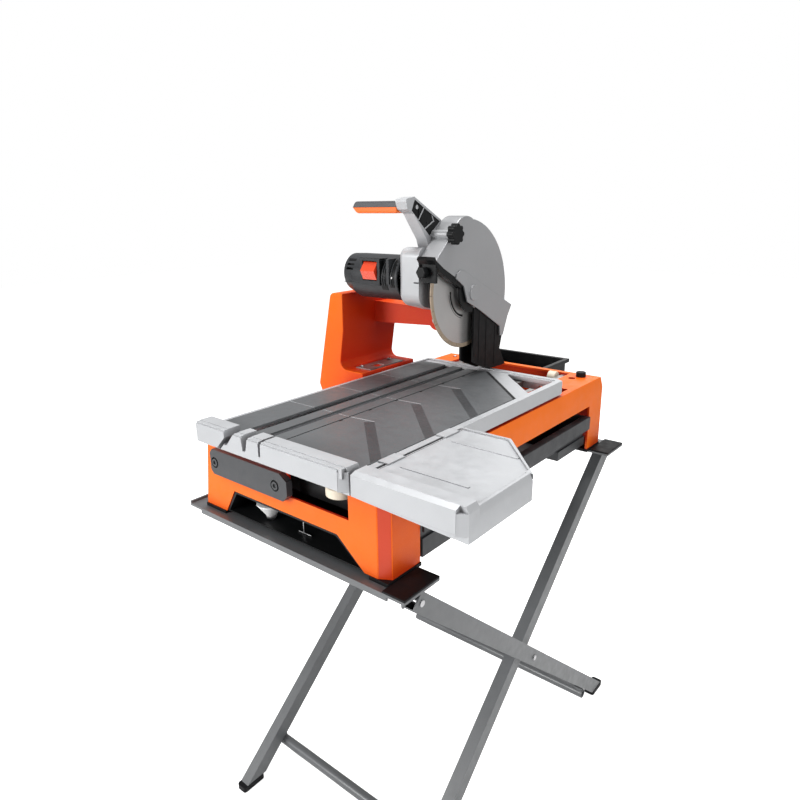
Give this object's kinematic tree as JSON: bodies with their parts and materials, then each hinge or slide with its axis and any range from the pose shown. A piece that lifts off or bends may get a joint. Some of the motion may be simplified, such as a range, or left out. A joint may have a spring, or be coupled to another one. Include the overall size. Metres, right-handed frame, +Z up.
{
  "type": "tile saw",
  "caption": "Portable wet tile saw: blade head plunges and bevels over a roller table with lift-off extension, water pan below, folding scissor stand.",
  "frame": {"origin": "centre of the bounding box's bottom face, on the floor under the saw", "axes": "+Z up, +X to the right of an operator standing at the fence, +Y from the operator to the rear tray"},
  "size_m": [0.732, 1.062, 1.3535],
  "materials": {
    "orange_paint": "gloss orange paint",
    "black_rubber": "matt black rubber",
    "grey_rubber": "matt grey rubber",
    "black_plastic": "matt black plastic",
    "dark_plastic": "matt dark grey plastic",
    "red_plastic": "gloss red orange plastic",
    "nylon": "cream nylon",
    "zinc_steel": "zinc plated steel",
    "steel": "turned steel",
    "laminated_steel": "varnished laminations",
    "blade_steel": "ground steel with a tan abrasive rim",
    "black_paint": "satin dark grey paint",
    "cast_aluminium": "satin silver aluminium",
    "guard_grey": "satin grey paint",
    "grip_grey": "soft dark grey grip",
    "grip_orange": "soft orange grip",
    "stand_grey": "satin grey paint"
  },
  "bodies": {
    "base": {"base_frame": "orange_paint", "rim_stopper": "black_rubber", "front_liner": "black_plastic", "water_pan": "dark_plastic", "water_pump": "black_plastic", "rear_tray": "black_plastic", "guide_beams": "zinc_steel", "roller_axles": "steel", "front_plate": "black_paint", "front_plate_bolts": "black_paint", "rubber_pads": "black_rubber", "column": "orange_paint", "arm": "orange_paint", "foot_plate": "zinc_steel", "stand_front_bar": "stand_grey", "stand_rear_bar": "stand_grey", "stand_hinge_pins": "steel"},
    "drain": {"drain_plug": "black_rubber"},
    "front_rollers": {"roller_front": "nylon"},
    "middle_rollers": {"roller_middle": "nylon"},
    "rear_rollers": {"roller_rear": "nylon"},
    "table": {"table_frame": "cast_aluminium", "table_runners": "zinc_steel", "fence": "cast_aluminium", "mats_left": "grey_rubber", "mat_right": "grey_rubber"},
    "extension": {"extension_deck": "cast_aluminium", "extension_frame": "cast_aluminium"},
    "tilt": {"tilt_bracket": "cast_aluminium", "tilt_bolt": "steel", "plunge_pin": "steel"},
    "tilt_lock": {"tilt_lock_lever": "steel"},
    "head": {"gear_case": "cast_aluminium", "case_cover": "cast_aluminium", "drive_belt": "black_rubber", "bearings": "steel", "motor_housing": "dark_plastic", "stator": "laminated_steel", "blade_guard": "guard_grey", "guard_lip": "black_plastic", "guard_arm": "guard_grey", "splash_shield": "black_rubber", "handle_bracket": "cast_aluminium", "handle_panel": "black_plastic", "grip_upper": "grip_grey", "grip_lower": "grip_orange"},
    "spindle": {"arbor": "steel", "blade": "blade_steel", "blade_flanges": "steel", "arbor_nut": "steel"},
    "rotor": {"armature": "laminated_steel", "motor_fan": "black_plastic"},
    "switch": {"switch_paddle": "red_plastic"},
    "guard_clamp": {"guard_knob": "black_plastic"},
    "case_clamp": {"case_knob": "black_plastic"},
    "outer_legs": {"outer_leg_frame": "stand_grey", "leg_pivot_bolts": "steel", "outer_feet": "black_rubber"},
    "inner_legs": {"inner_leg_frame": "stand_grey", "inner_feet": "black_rubber"}
  },
  "joints": [
    {"name": "drain_plug_pull", "type": "slide", "parent": "base", "child": "drain", "axis": [0, 0, -1], "range_m": [0, 0.03]},
    {"name": "table_slide", "type": "slide", "parent": "base", "child": "table", "axis": [0, 1, 0], "range_m": [0, 0.54]},
    {"name": "front_roller_turn", "type": "hinge", "parent": "base", "child": "front_rollers", "pos_m": [-0.097, -0.434, 0.9137], "axis": [1, 0, 0], "range_deg": [-2070, 5]},
    {"name": "middle_roller_turn", "type": "hinge", "parent": "base", "child": "middle_rollers", "pos_m": [-0.097, 0.059, 0.9137], "axis": [1, 0, 0], "range_deg": [-2070, 5]},
    {"name": "rear_roller_turn", "type": "hinge", "parent": "base", "child": "rear_rollers", "pos_m": [-0.097, 0.335, 0.9137], "axis": [1, 0, 0], "range_deg": [-2070, 5]},
    {"name": "extension_lift", "type": "slide", "parent": "table", "child": "extension", "axis": [0, 0, 1], "range_m": [0, 0.05]},
    {"name": "head_bevel", "type": "hinge", "parent": "base", "child": "tilt", "pos_m": [-0.119, 0.133, 1.08], "axis": [0, 1, 0], "range_deg": [0, 45], "deforming": ["splash_shield"]},
    {"name": "bevel_lock_turn", "type": "hinge", "parent": "base", "child": "tilt_lock", "pos_m": [-0.13, 0.099, 1.11], "axis": [0, 0, -1], "range_deg": [0, 40]},
    {"name": "head_plunge", "type": "hinge", "parent": "tilt", "child": "head", "pos_m": [-0.097, 0.229, 1.07], "axis": [1, 0, 0], "range_deg": [0, 24], "stiffness_Nm_per_rad": 12, "springref_deg": -97.4, "deforming": ["splash_shield"]},
    {"name": "blade_spin", "type": "hinge", "parent": "head", "child": "spindle", "pos_m": [-0.037, 0.061, 1.1556], "axis": [1, 0, 0], "continuous": true},
    {"name": "rotor_spin", "type": "hinge", "parent": "head", "child": "rotor", "pos_m": [-0.157, -0.032, 1.1855], "axis": [1, 0, 0], "continuous": true},
    {"name": "switch_rock", "type": "hinge", "parent": "head", "child": "switch", "pos_m": [-0.187, -0.079, 1.202], "axis": [1, 0, 0], "range_deg": [0, 10]},
    {"name": "guard_knob_turn", "type": "hinge", "parent": "head", "child": "guard_clamp", "pos_m": [-0.003, -0.026, 1.28], "axis": [1, 0, 0], "range_deg": [0, 180]},
    {"name": "case_knob_turn", "type": "hinge", "parent": "head", "child": "case_clamp", "pos_m": [-0.042, -0.086, 1.206], "axis": [0, 1, 0], "range_deg": [0, 180]},
    {"name": "stand_fold", "type": "hinge", "parent": "base", "child": "outer_legs", "pos_m": [-0.067, -0.426, 0.722], "axis": [1, 0, 0], "range_deg": [0, 38]},
    {"name": "scissor", "type": "hinge", "parent": "outer_legs", "child": "inner_legs", "pos_m": [-0.067, -0.016, 0.3645], "axis": [1, 0, 0], "range_deg": [-76, 0]}
  ],
  "couplings": [
    {"joint": "front_roller_turn", "follows": "table_slide", "rad_per_m": -66.667},
    {"joint": "middle_roller_turn", "follows": "table_slide", "rad_per_m": -66.667},
    {"joint": "rear_roller_turn", "follows": "table_slide", "rad_per_m": -66.667},
    {"joint": "rotor_spin", "follows": "blade_spin", "ratio": 1.6667},
    {"joint": "scissor", "follows": "stand_fold", "ratio": -2}
  ]
}
